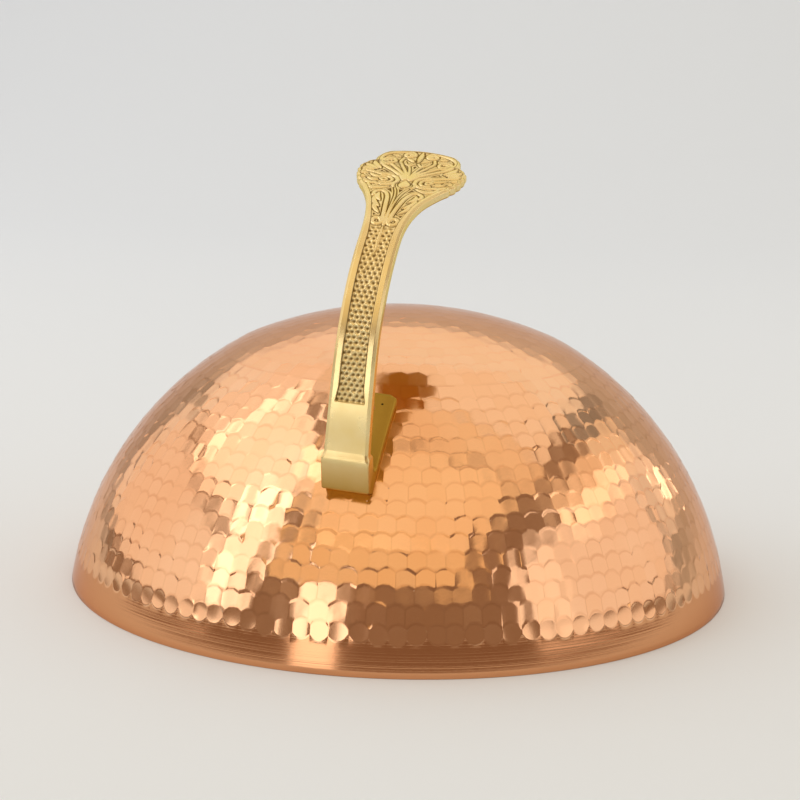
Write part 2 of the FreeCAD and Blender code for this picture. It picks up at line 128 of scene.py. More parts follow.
# The handle sits a little off square, turned about the middle of its leaf
SEAT_ANGLE = radians(45.6)
SEAT_TURN = radians(-5.4)

SIDE_CENTRE = -sqrt(SIDE_RADIUS ** 2 - RIM_RADIUS ** 2)


# Colours and nodes

def linear(hex_colour):
    """An sRGB hex colour as linear red, green, blue and full cover."""
    parts = [int(hex_colour[i:i + 2], 16) / 255 for i in (1, 3, 5)]
    return [c / 12.92 if c <= 0.04045 else ((c + 0.055) / 1.055) ** 2.4 for c in parts] + [1.0]


def add_node(tree, kind, inputs=None, **settings):
    """Add a shader node with its settings. An input takes a value, or a socket to link."""
    node = tree.nodes.new("ShaderNode" + kind)
    for name, value in settings.items():
        setattr(node, name, value)
    for name, value in (inputs or {}).items():
        if isinstance(value, bpy.types.NodeSocket):
            tree.links.new(value, node.inputs[name])
        else:
            node.inputs[name].default_value = value
    return node


def new_material(name):
    """A material without nodes, and the tree that takes them."""
    material = bpy.data.materials.new(name)
    material.use_nodes = True
    material.node_tree.nodes.clear()
    return material, material.node_tree


# Meshes

class Sheet:
    """A skin gathered ring by ring, with the place of each ring's points kept for the next one."""

    def __init__(self):
        self.points, self.faces, self.tones, self.lines = [], [], [], []

    def ring(self, places, line=0.0):
        """Add a ring of points, each with a share of the painted shade line that runs between hammer marks.
        """
        first = len(self.points)
        self.points.extend(np.asarray(places, dtype=float).tolist())
        self.lines.extend(np.broadcast_to(line, len(places)).tolist())
        return np.arange(first, len(self.points))

    def skin(self, rings, tones=None, downwards=False):
        """Quads from each ring to the next one, which has as many points."""
        for lower, upper in zip(rings, rings[1:]):
            if downwards:
                lower, upper = upper, lower
            quads = np.stack([lower, np.roll(lower, -1), np.roll(upper, -1), upper], 1)
            self.faces.extend(quads.tolist())
            self.tones.extend(tones or [PLAIN_TONE] * len(lower))

    def lace(self, lower, upper, lower_tones=None, upper_tones=None):
        """Triangles between two rings that begin side by side, drawn the shorter way each time."""
        i = j = 0
        low, high = len(lower), len(upper)
        while i < low or j < high:
            a, b = lower[i % low], upper[j % high]
            next_a, next_b = lower[(i + 1) % low], upper[(j + 1) % high]
            tones, number = (lower_tones, i % low) if lower_tones else (upper_tones, j % high)
            self.tones.append(tones[number] if tones else PLAIN_TONE)
            to_next_a = dist(self.points[next_a], self.points[b])
            to_next_b = dist(self.points[a], self.points[next_b])
            if j >= high or (i < low and to_next_a <= to_next_b):
                self.faces.append((a, next_a, b))
                i += 1
            else:
                self.faces.append((a, next_b, b))
                j += 1

    def close(self, ring, top):
        """A fan of triangles from a ring to one point above it."""
        for a, b in zip(ring, np.roll(ring, -1)):
            self.faces.append((a, b, top))
            self.tones.append(PLAIN_TONE)


def object_from(name, points, faces):
    """A smooth piece from points in millimetres."""
    mesh = bpy.data.meshes.new(name)
    mesh.from_pydata((np.asarray(points) * MM).tolist(), [], faces)
    mesh.update()
    piece = bpy.data.objects.new(name, mesh)
    bpy.context.collection.objects.link(piece)
    mesh.polygons.foreach_set("use_smooth", np.ones(len(mesh.polygons), dtype=bool))
    return piece


def keep_values(piece, name, domain, values):
    """Keep a value for each face or point of a piece, for its material to read."""
    attribute = piece.data.attributes.new(name, "FLOAT", domain)
    attribute.data.foreach_set("value", np.asarray(values, dtype=float))


# Dome: where a point lies by its distance up the sheet from the rim

def meeting_point(centre_a, radius_a, centre_b, radius_b, side):
    """Where two circles meet, on the left (+1) or right (-1) of the line from a to b."""
    dx, dy = centre_b[0] - centre_a[0], centre_b[1] - centre_a[1]
    gap = hypot(dx, dy)
    foot = (radius_a ** 2 - radius_b ** 2 + gap ** 2) / (2 * gap)
    rise = side * sqrt(radius_a ** 2 - foot ** 2)
    return (centre_a[0] + (foot * dx - rise * dy) / gap, centre_a[1] + (foot * dy + rise * dx) / gap)


CROWN_CENTRE = LID_HEIGHT - CROWN_RADIUS
SHOULDER_CENTRE = meeting_point((0.0, SIDE_CENTRE), SIDE_RADIUS - SHOULDER_RADIUS,
                                (0.0, CROWN_CENTRE), CROWN_RADIUS - SHOULDER_RADIUS, 1)
RIM_TURN = asin(-SIDE_CENTRE / SIDE_RADIUS)
SIDE_TURN = atan2(SHOULDER_CENTRE[1] - SIDE_CENTRE, abs(SHOULDER_CENTRE[0]))
SHOULDER_TURN = atan2(SHOULDER_CENTRE[1] - CROWN_CENTRE, abs(SHOULDER_CENTRE[0]))
SIDE_LENGTH = SIDE_RADIUS * (SIDE_TURN - RIM_TURN)
SHOULDER_LENGTH = SHOULDER_RADIUS * (SHOULDER_TURN - SIDE_TURN)
DOME_LENGTH = SIDE_LENGTH + SHOULDER_LENGTH + CROWN_RADIUS * (pi / 2 - SHOULDER_TURN)


def on_dome(turns, up, lift):
    """Points of the dome by turn round the axis, distance up the sheet and height above its face."""
    up = np.broadcast_to(up, np.shape(turns)).astype(float)
    parts = [up < SIDE_LENGTH, up < SIDE_LENGTH + SHOULDER_LENGTH]
    angle = np.select(parts, [RIM_TURN + up / SIDE_RADIUS, SIDE_TURN + (up - SIDE_LENGTH) / SHOULDER_RADIUS],
                      pi / 2 - (DOME_LENGTH - up) / CROWN_RADIUS)
    bend = np.select(parts, [SIDE_RADIUS, SHOULDER_RADIUS], CROWN_RADIUS)
    middle = np.select(parts, [0.0, abs(SHOULDER_CENTRE[0])], 0.0)
    height = np.select(parts, [SIDE_CENTRE, SHOULDER_CENTRE[1]], CROWN_CENTRE)
    reach = bend + lift - WORKED_AWAY
    radius = middle + reach * np.cos(angle)
    filed_level = np.maximum(height + reach * np.sin(angle), 0.0)
    return np.stack([radius * np.cos(turns), radius * np.sin(turns), filed_level], 1)


def counted_from(first, turns):
    """The same turns, counted on from a first one round the axis."""
    return first + np.mod(turns - first + SAME_TURN, tau) - SAME_TURN


class MarkRow:
    """One row of hammer marks: where each blow fell, how it leant and how far it reached."""

    def __init__(self, up, last):
        radius = hypot(*on_dome(np.zeros(1), up, 0.0)[0, :2])
        crown = up > CROWN_BEGINS
        self.line = CROWN_SOFTNESS if crown else 1.0
        self.level_top = None if crown or up + ROW_PITCH < CROWN_BEGINS else CROWN_BEGINS
        self.number = max(FEWEST_MARKS, round(tau * radius / MARK_PITCH))
        step = tau / self.number
        drift = chance.uniform(-MARK_DRIFT, MARK_DRIFT, self.number)
        self.middles = (np.arange(self.number) + chance.random() + drift) * step
        self.lefts = (self.middles + np.roll(self.middles, 1)) / 2
        self.lefts[0] = (self.middles[0] + self.middles[-1] - tau) / 2
        self.rights = np.append(self.lefts[1:], self.lefts[0] + tau)
        self.ups = up + chance.normal(0.0, ROW_WAVER, self.number)
        reach = LAST_MARK_RADIUS if last else MARK_RADIUS
        self.reaches = reach + chance.normal(0.0, REACH_WAVER, self.number)
        self.leans = chance.normal(0.0, MARK_TILT * self.line, (self.number, 2))
        hollow = LAST_MARK_HOLLOW if last else MARK_HOLLOW / self.line
        self.hollows = hollow * chance.uniform(*HOLLOW_SPREAD, self.number)
        self.slope = 0.0 if last or crown else chance.uniform(*LEDGE_SLOPES)
        self.tones = chance.random(self.number)
        self.lines = self.line * chance.uniform(*LINE_SHADE_SHARES, self.number)
        self.radius, self.last = radius, last
        columns = np.array(LAST_MARK_COLUMNS if last else MARK_COLUMNS)
        widths = self.rights - self.lefts
        self.turns = (self.lefts[:, None] + widths[:, None] * columns).ravel()
        self.column_tones = np.repeat(self.tones, len(columns)).tolist()

    def owner_at(self, turns):
        """The mark at each turn; a turn on the border of two marks goes to the right one."""
        past_first = np.mod(turns - self.lefts[0] + SAME_TURN, tau)
        return np.searchsorted(self.lefts - self.lefts[0], past_first, side="right") - 1

    def across(self, owner, turns):
        """How far a place lies beside the middle of a mark."""
        return self.radius * (np.mod(turns - self.middles[owner] + pi, tau) - pi)

    def edge(self, turns, way):
        """How far up the sheet the row's marks reach (way +1) or how far down (way -1).

        Each mark ends in an arc, drawn a little up or down beside its neighbours so that the arcs meet.
        """
        if self.level_top and way > 0:
            return np.full(len(turns), self.level_top)

        def arc(mark, beside):
            squared = np.maximum(self.reaches[mark] ** 2 - beside ** 2, LEAST_ARC)
            return self.ups[mark] + way * np.sqrt(squared)

        marks = np.arange(self.number)
        left, right = self.across(marks, self.lefts), self.across(marks, self.rights)
        at_left, at_right = arc(marks, left), arc(marks, right)
        to_left = (np.roll(at_right, 1) - at_left) / 2
        to_right = (np.roll(at_left, -1) - at_right) / 2
        owner = self.owner_at(turns)
        beside = self.across(owner, turns)
        border = np.where(beside < 0.0, left[owner], right[owner])
        drawn = np.where(beside < 0.0, to_left[owner], to_right[owner])
        return arc(owner, beside) + drawn * (beside / border) ** 2

    def seam_with(self, above):
        """Turns of the points along the seam between this row and the one above it."""
        turns = np.concatenate([self.turns, above.turns])
        turns = np.sort(counted_from(self.turns[0], turns))
        return turns[np.append(True, np.diff(turns) > SAME_TURN)]

    def lift(self, owner, turns, up):
        """Height of a mark's dished, leaning face above the curved sheet."""
        across = self.across(owner, turns)
        above = up - self.ups[owner] - (0.0 if self.last else DEEPEST_ABOVE)
        dish = (across ** 2 + above ** 2) * (0.5 / SIDE_RADIUS + 0.5 / self.hollows[owner])
        if not self.last:
            dish = MARK_RISE * np.tanh(dish / MARK_RISE)
        depth = LAST_MARK_RADIUS ** 2 / 2 / self.hollows[owner] if self.last else MARK_DEPTH
        return dish + self.leans[owner, 0] * across + (self.leans[owner, 1] - self.slope) * above - depth

    def ring(self, sheet, turns, up, at_end):
        """A ring of points at given distances up the sheet; a point between two marks lies on both."""
        owner = self.owner_at(turns)
        share = np.mod(turns - self.lefts[owner] + SAME_TURN, tau) / (self.rights - self.lefts)[owner]
        neighbour = np.where(share > 0.5, owner + 1, owner - 1) % self.number
        near_border = 0.5 * np.clip(1.0 - np.minimum(share, 1.0 - share) / BORDER_SHARE, 0.0, 1.0)
        own, other = self.lift(owner, turns, up), self.lift(neighbour, turns, up)
        # Painted shade of the crease where marks meet, full on their borders and on the rings at a row's ends
        line = self.lines[owner] * np.maximum(2.0 * near_border, at_end)
        return sheet.ring(on_dome(turns, up, own + near_border * (other - own)), line)


def raise_dome():
    """The dome: hammered outside, smooth band above a filed rim, plain inside."""
    sheet = Sheet()
    rows = [MarkRow(up, up == LOWEST_ROW)
            for up in np.arange(LOWEST_ROW, DOME_LENGTH - ROW_PITCH, ROW_PITCH)]
    lowest = rows[0]
    turns = lowest.turns

    # Smooth band from the filed rim up to the lowest row of marks
    band_height = LOWEST_ROW - LAST_MARK_RADIUS - 2 * LEDGE_WIDTH
    levels = [FILED_EDGE + share * (band_height - FILED_EDGE) for share in BAND_LEVELS]
    levels.append(lowest.edge(turns, -1) - LEDGE_WIDTH)
    band = [sheet.ring(on_dome(turns, 0.0, -FILED_EDGE))]
    band += [sheet.ring(on_dome(turns, up, 0.0)) for up in levels]
    sheet.skin(band)
    band_faces = len(sheet.faces)

    # Marks, row by row upwards; each row is cut below by the arcs of the row struck after it,
    # and both rows have their points along that seam at the same turns
    below, seam, head = None, turns, band[-1]
    for row, above in zip(rows, rows[1:] + [None]):
        top = row.edge(row.turns, 1)
        bottom = row.edge(row.turns, -1) if row.last else below.edge(row.turns, 1) + LEDGE_WIDTH
        foot_up = bottom if row.last else below.edge(seam, 1) + LEDGE_WIDTH
        foot = row.ring(sheet, seam, foot_up, 1.0)
        sheet.skin([head, foot])
        faces = [row.ring(sheet, row.turns, bottom + level * (top - bottom), 0.0)
                 for level in (LAST_MARK_LEVELS if row.last else MARK_LEVELS)]
        order = np.argsort(counted_from(row.turns[0], seam))
        sheet.lace(foot[order], faces[0], upper_tones=row.column_tones)
        sheet.skin(faces, row.column_tones)
        below, seam = row, row.seam_with(above) if above else row.turns
        head = row.ring(sheet, seam, row.edge(seam, 1), 1.0)
        sheet.lace(faces[-1], head, lower_tones=row.column_tones)
    apex = sheet.ring([[0.0, 0.0, LID_HEIGHT - WORKED_AWAY - MARK_DEPTH]])
    sheet.close(head, apex[0])
    outside_faces = len(sheet.faces)

    # Inside face, from the rim up to the crown
    inner_turns = np.linspace(0.0, tau, INSIDE_TURNS, endpoint=False)
    inner = [sheet.ring(on_dome(inner_turns, 0.0, FILED_EDGE - SHEET))]
    for up in np.linspace(FILED_EDGE, DOME_LENGTH - CROWN_CLOSES, INSIDE_RINGS):
        inner.append(sheet.ring(on_dome(inner_turns, up, -SHEET)))
    sheet.lace(inner[0], band[0][np.argsort(counted_from(0.0, turns))])
    sheet.skin(inner, downwards=True)
    under_apex = sheet.ring([[0.0, 0.0, LID_HEIGHT - WORKED_AWAY - SHEET]])
    sheet.close(inner[-1][::-1], under_apex[0])

    dome = object_from("hammered_dome", sheet.points, sheet.faces)
    numbers = np.arange(len(sheet.faces))
    keep_values(dome, "mark_tone", "FACE", sheet.tones)
    keep_values(dome, "mark_line_shade", "POINT", sheet.lines)
    keep_values(dome, "spun_band", "FACE", numbers < band_faces)
    dome.data.polygons.foreach_set("material_index", (numbers >= outside_faces).astype(int))
    return dome


# Handle: its side view, from the tip of the plate down to the end of the leaf

BEND_TURN = pi / 2 - PLATE_SLOPE
BEND_LENGTH = BEND_RADIUS * BEND_TURN
STRAP_SHOULDER = -BEND_LENGTH - (BEND_HEIGHT - BLOCK_SHOULDER)


def ramp(value):
    """A soft step from 0 to 1 as a value goes from 0 to 1."""
    value = np.clip(value, 0.0, 1.0)
    return value * value * (3.0 - 2.0 * value)


def strap_front(along):
    """A point of the strap's front and the way into the metal, as reach and height."""
    turn = BEND_TURN + min(along, 0.0) / BEND_RADIUS
    way_out = (cos(max(turn, 0.0)), sin(max(turn, 0.0)))
    reach = STRAP_REACH - BEND_RADIUS + BEND_RADIUS * way_out[0]
    height = BEND_HEIGHT + BEND_RADIUS * way_out[1] + BEND_RADIUS * min(turn, 0.0)
    reach -= max(along, 0.0) * cos(PLATE_SLOPE)
    height += max(along, 0.0) * sin(PLATE_SLOPE)
    return np.array((reach, height)), -np.array(way_out)


def strap_depth(along):
    """Thickness behind a point of the front: even up the strap, thinner round the bend and to the tip.

    The back of the bend is an arc round a centre of its own, a little further in than the front's.
    """
    turn = max(BEND_TURN + min(along, 0.0) / BEND_RADIUS, 0.0)
    apart = STRAP_THICKNESS + BEND_BACK_RADIUS - BEND_RADIUS
    to_back = sqrt(BEND_BACK_RADIUS ** 2 - (apart * sin(turn)) ** 2) - apart * cos(turn)
    bend = BEND_RADIUS - to_back
    return bend + (PLATE_EDGE - bend) * max(along, 0.0) / PLATE_LENGTH


def plan_along(along):
    """How far along a point of the front lies when the handle is seen square to its plate."""
    bend = BEND_RADIUS * np.sin(np.maximum(along, -BEND_LENGTH) / BEND_RADIUS)
    upright = np.minimum(along + BEND_LENGTH, 0.0) * sin(PLATE_SLOPE)
    return np.where(along > 0, along, bend + upright)


def strap_half(along):
    """Half the width of strap and plate: flared neck, side lobes with scallops, notches and a broad tip."""
    plan = plan_along(along)
    half = STRAP_WIDTH / 2

    def beside(centre, radius, way):
        return centre[0] + way * np.sqrt(np.maximum(radius ** 2 - (plan - centre[1]) ** 2, 0.0))

    def widest_at_peak(other):
        inward, rise = LOBE_PEAK[0] - other[0], LOBE_PEAK[1] - other[1]
        radius = (inward ** 2 + rise ** 2) / (2 * inward)
        return beside((LOBE_PEAK[0] - radius, LOBE_PEAK[1]), radius, 1)

    foot_flare = beside((half + FOOT_FLARE_RADIUS, -FOOT_FLARE_START), FOOT_FLARE_RADIUS, -1)
    flare = beside((half + FLARE_RADIUS, -FLARE_START), FLARE_RADIUS, -1)
    flare_reach = sqrt(FLARE_RADIUS ** 2 - (LOBE_START + FLARE_START) ** 2)
    lobe_foot = (half + FLARE_RADIUS - flare_reach, LOBE_START)
    tip_centre = (0.0, PLATE_LENGTH - TIP_RADIUS)
    corner_centre = meeting_point(tip_centre, TIP_RADIUS - CORNER_RADIUS, NOTCH, CORNER_RADIUS, 1)
    tip_from = tip_centre[1] + (corner_centre[1] - tip_centre[1]) * TIP_RADIUS / (TIP_RADIUS - CORNER_RADIUS)
    corner = beside(corner_centre, CORNER_RADIUS, 1)
    tip = beside(tip_centre, TIP_RADIUS, 1)
    wave = 1.0 - np.abs(np.sin(pi * (plan - LOBE_START) * SCALLOPS / (NOTCH[1] - LOBE_START)))
    scallop = SCALLOP_DEPTH * wave * ramp((plan - LOBE_START) / SCALLOP_FADE)
    return np.select([plan < -FOOT_FLARE_START, plan < -FLARE_START, plan < LOBE_START, plan < LOBE_PEAK[1],
                      plan < NOTCH[1], plan < tip_from],
                     [foot_flare, half, flare, widest_at_peak(lobe_foot) - scallop,
                      widest_at_peak(NOTCH) - scallop, corner], tip)


# Handle: the cast relief of its front. A route runs across and along the plate, for its right half.

STEPS_PER_TURN = 16
STEPS_PER_STOP = 6


def volute(centre, start, end, from_angle, turns):
    """A route that winds in round a centre; a negative number of turns winds clockwise."""
    count = int(STEPS_PER_TURN * abs(turns))
    angles = radians(from_angle) + np.linspace(0.0, tau * turns, count)
    radii = np.linspace(start, end, count)
    return np.stack([centre[0] + radii * np.cos(angles), centre[1] + radii * np.sin(angles)], 1)


def flowing(*stops):
    """A smooth route through a few stops."""
    stops = np.array(stops, dtype=float)
    padded = np.concatenate([[2 * stops[0] - stops[1]], stops, [2 * stops[-1] - stops[-2]]])
    share = np.linspace(0.0, 1.0, STEPS_PER_STOP, endpoint=False)[:, None]
    runs = []
    for a, b, c, d in zip(padded, padded[1:], padded[2:], padded[3:]):
        runs.append(0.5 * (2 * b + (c - a) * share + (2 * a - 5 * b + 4 * c - d) * share ** 2
                           + (3 * b - a - 3 * c + d) * share ** 3))
    return np.concatenate(runs + [stops[-1:]])


def run_on(*routes):
    """One route made of several that follow each other."""
    return np.concatenate(routes)


# Half width, rise and route of each rib: bands keep their width, leaves swell in the middle
BANDS = [
    # Neck scrolls that end in a curl, and the twin stem between them
    (1.15, 0.95, run_on(
        flowing((11.0, 0.2), (11.2, 3.4), (8.8, 5.6), (5.9, 4.0), (4.1, -1.2), (3.2, -7.2), (2.4, -13.0),
                (1.9, -16.8)), volute((3.75, -21.2), 2.9, 1.6, 130.0, 1.1))),
    (0.55, 0.85, flowing((3.2, 9.8), (2.0, 6.0), (1.0, 0.5), (0.55, -7.0), (0.35, -15.0), (0.3, -24.0))),
    # Scrolls beside the hub, open towards the side lobes, with a curl inside
    (1.20, 0.95, run_on(
        flowing((22.5, 27.2), (18.4, 26.2), (14.6, 24.9)), volute((10.2, 18.4), 6.2, 5.8, 66.0, 0.63),
        flowing((13.2, 13.2), (16.6, 13.4), (20.6, 15.6)))),
    (0.95, 0.92, volute((10.5, 18.4), 3.9, 3.5, 50.0, 0.68)),
    (0.80, 0.90, volute((10.8, 18.4), 1.9, 0.8, 20.0, 1.0)),
    # Stems that fan out of the hub, the outer one running on along the edge of the tip into a curl
    (1.15, 0.95, run_on(
        flowing((1.7, 20.0), (3.6, 23.6), (6.6, 27.2), (10.6, 31.0), (14.9, 34.8), (17.2, 38.4), (18.3, 42.6),
                (17.6, 46.6), (14.8, 49.8), (10.8, 52.2), (7.6, 53.2)),
        volute((5.9, 49.7), 3.4, 0.9, 82.0, 1.3))),
    (1.05, 0.92, run_on(
        flowing((1.1, 20.4), (2.7, 24.8), (5.4, 29.4), (8.6, 33.4), (11.4, 36.5)),
        volute((13.3, 40.7), 4.3, 1.1, -114.0, 1.6))),
    (0.95, 0.88, flowing((0.7, 20.8), (1.9, 26.4), (4.0, 31.8), (6.4, 36.8), (8.2, 41.2), (7.6, 45.2))),
    (0.75, 0.85, flowing((0.3, 21.2), (0.9, 27.6), (2.0, 33.4), (3.0, 36.4))),
    (0.85, 0.85, flowing((6.0, 41.0), (4.5, 37.9), (2.4, 37.5), (0.9, 39.6))),
]
LEAVES = [(half, rise, flowing(*stops)) for half, rise, *stops in [
    # Bulb under the hub with its side curls, and the stem that ends among the pits
    (2.9, 0.98, (0.0, 10.6), (0.0, 14.6), (0.0, 18.6)),
    (1.0, 0.85, (3.4, 10.6), (4.9, 12.2), (4.7, 14.8)),
    (1.0, 0.60, (0.0, -24.0), (0.0, -33.0), (0.0, -42.0)),
    # Lobes of the leaf inside each neck scroll
    (1.5, 0.92, (8.8, 3.0), (8.9, -0.8), (6.4, -5.4)),
    (1.5, 0.90, (10.2, -1.8), (8.9, -6.4), (5.4, -10.8)),
    (1.3, 0.86, (8.8, -7.6), (7.2, -12.0), (4.4, -15.8)),
    # Broad leaf between the neck scroll and the scroll beside the hub
    (1.6, 0.95, (17.4, 14.6), (15.6, 9.6), (12.8, 8.2), (9.6, 9.0), (5.6, 11.0)),
    # Leaves in the mouth of that scroll
    (1.3, 0.92, (12.2, 20.2), (15.2, 21.6), (18.6, 22.8)),
    (1.3, 0.92, (12.6, 16.8), (15.6, 17.2), (19.0, 18.4)),
    # Leaf between the curls of the tip, with a small one beside it, and a leaf in the corner
    (1.5, 0.98, (0.0, 41.4), (0.0, 48.0), (0.0, 54.2)),
    (1.2, 0.92, (1.6, 41.0), (3.4, 43.4), (6.2, 44.8)),
    (1.2, 0.90, (9.0, 46.2), (11.4, 47.4), (13.8, 47.6)),
    # Petals of the side lobes
    (1.8, 0.95, (15.0, 30.4), (18.2, 34.2), (20.4, 38.4)),
    (2.0, 0.95, (16.2, 29.2), (20.2, 32.0), (23.8, 35.6)),
    (1.9, 0.95, (17.6, 28.4), (21.6, 29.6), (25.6, 31.2)),
    (1.6, 0.92, (19.6, 23.4), (22.4, 24.2), (25.4, 25.0)),
    (1.9, 0.95, (19.6, 19.2), (22.4, 19.8), (24.9, 20.6)),
    (1.3, 0.90, (18.6, 13.4), (20.4, 13.8), (22.0, 14.8)),
]]
DRILLED = [(21.9, 34.6), (23.3, 30.6), (21.6, 21.9), (16.9, 20.2), (10.8, 18.4), (13.3, 40.6)]

# Heights, widths and shades of the relief, and where pits, borders and the dressed lower strap lie
DRILL_RADIUS = 0.75
DRILL_DEPTH = 0.9
LEAF_FULLNESS = 0.6
LEAF_ENDS = (0.02, 0.98)
GROUND = 1.0
ECHO_PITCH = 1.6
ECHO_RISE = 0.62
ECHO_REACH = 4.0
PANEL_GROUND = 0.65
WALL_WIDTH = 0.8
WALL_SHADE = 0.7
CLEAN_SHARE = 0.45
PIT_SHADE = 0.8
PIT_FOCUS = 2.2
BEVEL_WIDTH = 1.25
BEVEL_SLOPE = 0.72
PANEL_FOOT_HEIGHT = 119.0
PANEL_FOOT = -BEND_LENGTH - (BEND_HEIGHT - PANEL_FOOT_HEIGHT)
DRESSED_INTO_BEND = 5.5
DRESSED_FROM = -BEND_LENGTH + DRESSED_INTO_BEND
DRESSED_RISE = 0.55
PITS_BEGIN = -23.5
PITS_BLEND = 4.0
PIT_PITCH = 2.65
PIT_ROW = 2.35
PIT_RADIUS = 1.42
PIT_DEPTH = 0.6
PIT_WAVER = 0.16
PIT_TABLE = (80, 16)
BORDER_PLACES = (PANEL_FOOT, PANEL_FOOT + 7.0, -31.0, -12.0, 10.0, 14.0, 40.0)
BORDER_WIDTHS = (2.6, 3.6, 3.4, 2.3, 2.2, 1.2, 1.3)


def cast_ribs(across, along, beyond_border):
    """How high ribs and the lines that echo them stand over the ground at each place."""
    height, outside = np.zeros(len(across)), np.clip(beyond_border, 0.0, ECHO_REACH)
    for half, rise, route, leaf in ([(*rib, False) for rib in BANDS] + [(*rib, True) for rib in LEAVES]):
        low, high = route.min(0) - half - ECHO_REACH, route.max(0) + half + ECHO_REACH
        near = np.flatnonzero((across > low[0]) & (across < high[0]) & (along > low[1]) & (along < high[1]))
        places = np.stack([across[near], along[near]], 1)[:, None]
        starts, runs = route[None, :-1], np.diff(route, axis=0)[None]
        share = np.clip(((places - starts) * runs).sum(2) / (runs ** 2).sum(2), 0.0, 1.0)
        gaps = np.linalg.norm(places - starts - share[..., None] * runs, axis=2)
        nearest = gaps.argmin(1)
        gap = gaps.min(1)
        travelled = (nearest + share[np.arange(len(near)), nearest]) / (len(route) - 1)
        width = half * (np.sin(pi * np.clip(travelled, *LEAF_ENDS)) ** LEAF_FULLNESS if leaf else 1.0)
        height[near] = np.maximum(height[near], rise * np.sqrt(np.clip(1.0 - (gap / width) ** 2, 0.0, 1.0)))
        outside[near] = np.minimum(outside[near], np.maximum(gap - width, 0.0))
    echo = ECHO_RISE * (0.5 - 0.5 * np.cos(tau * outside / ECHO_PITCH))
    return height, np.where(outside > 0.0, echo, 0.0)


def pit_share(across, along):
    """How deep a place lies in the staggered pits of the panel, from 0 between them to 1."""
    shift = chance.normal(0.0, PIT_WAVER, (*PIT_TABLE, 2))
    row = np.round(along / PIT_ROW).astype(int)
    depth = np.zeros(len(across))
    for step in (-1, 0, 1):
        line = row + step
        offset = np.where(line % 2 == 0, 0.0, PIT_PITCH / 2)
        place = np.round((across - offset) / PIT_PITCH).astype(int)
        moved = shift[line % PIT_TABLE[0], place % PIT_TABLE[1]]
        gap = np.hypot(across - offset - place * PIT_PITCH - moved[:, 0],
                       along - line * PIT_ROW - moved[:, 1])
        depth = np.maximum(depth, np.clip(1.0 - (gap / PIT_RADIUS) ** 2, 0.0, 1.0))
    return depth


def front_relief(across, along, edge):
    """Height of the cast front against its plain face, and how dark each place is painted: tarnish and
    painted shade in recesses, pits and holes.

    The lower strap is dressed a little round along its length.
    """
    aside = np.abs(across)
    border = np.interp(along, BORDER_PLACES, BORDER_WIDTHS)
    inside = np.clip((edge - border) / WALL_WIDTH, 0.0, 1.0) * ramp((along - PANEL_FOOT) / WALL_WIDTH)
    sunk = ramp(inside)
    pitted = ramp((PITS_BEGIN - along) / PITS_BLEND)
    pits = pit_share(across, along) * pitted
    ground = GROUND + (PANEL_GROUND - GROUND) * pitted
    ribs, echoes = cast_ribs(aside, along, edge - border)
    rise = np.maximum(ribs, echoes * (1.0 - pitted))
    between_ribs = np.clip(1.0 - ribs / ground, 0.0, 1.0)
    relief = np.minimum(rise - ground, 0.0) * sunk - PIT_DEPTH * pits * between_ribs * sunk
    carved = np.clip((1.0 - rise / ground - CLEAN_SHARE) / (1.0 - CLEAN_SHARE), 0.0, 1.0)
    recess = sunk * (carved * (1.0 - pitted) + PIT_SHADE * pits ** PIT_FOCUS * between_ribs)
    halfway_down = 4.0 * sunk * (1.0 - sunk)
    recess = np.maximum(recess, WALL_SHADE * halfway_down)
    dressed = np.clip((DRESSED_FROM - along) / (DRESSED_FROM - STRAP_SHOULDER), 0.0, 1.0)
    relief += DRESSED_RISE * np.sin(pi * dressed) ** 2
    # Drilled holes are sunk, and painted full dark inside as painted shade
    for place in DRILLED:
        hole = np.clip(1.0 - (np.hypot(aside - place[0], along - place[1]) / DRILL_RADIUS) ** 2, 0.0, 1.0)
        relief -= DRILL_DEPTH * hole
        recess = np.maximum(recess, hole)
    return relief - BEVEL_SLOPE * np.clip(BEVEL_WIDTH - edge, 0.0, BEVEL_WIDTH), np.clip(recess, 0.0, 1.0)


# Points of one ring round the handle, as shares of its half width, its side and its rounded corner
FRONT_COLUMNS = np.linspace(-1.0, 1.0, 161)
SIDE_STEPS = np.array((0.3, 0.65, 1.0))
BACK_STEPS = np.array((0.5, 0.0, -0.5))
CORNER_STEPS = np.array((0.3, 1.0))
BACK_COUNT = 2 * len(CORNER_STEPS) + len(BACK_STEPS)
RING_REST = 2 * len(SIDE_STEPS) + BACK_COUNT
CORNER_FALL = 0.4


def cross_section(front, back, half, relief, back_rounding):
    """One closed ring round the handle: across its front, down a side, across its back and up again."""
    thick = np.linalg.norm(back - front)
    inward = (back - front) / thick
    side = -relief[-1] + (thick - back_rounding + relief[-1]) * SIDE_STEPS
    corner = half - back_rounding * CORNER_STEPS
    corner_depth = thick - back_rounding * (1.0 - CORNER_STEPS) * CORNER_FALL
    edge = np.full(len(SIDE_STEPS), half)
    flat_depth = np.full(len(BACK_STEPS), thick)
    across = np.concatenate([FRONT_COLUMNS * half, edge, corner, BACK_STEPS * half, -corner[::-1], -edge])
    depth = np.concatenate([-relief, side, corner_depth, flat_depth, corner_depth[::-1], side[::-1]])
    places = front[None] + depth[:, None] * inward[None]
    return np.stack([across, -places[:, 0], places[:, 1]], 1)


def on_ball(radius, angle):
    """A point of the ball that the dome's side belongs to, as reach and height."""
    return np.array((radius * cos(angle), SIDE_CENTRE + radius * sin(angle)))


def rounded_corner(before, corner, after, radius, count):
    """Points round an arc that fits into a corner."""
    one = (before - corner) / np.linalg.norm(before - corner)
    two = (after - corner) / np.linalg.norm(after - corner)
    half_turn = acos(np.clip(one @ two, -1.0, 1.0)) / 2
    reach = radius / tan(half_turn)
    share = np.linspace(0.0, 1.0, count)[:, None]
    start, end = corner + one * reach, corner + two * reach
    centre = corner + (one + two) / np.linalg.norm(one + two) * radius / sin(half_turn)
    chord = start + share * (end - start) - centre
    return centre + chord / np.linalg.norm(chord, axis=1)[:, None] * radius


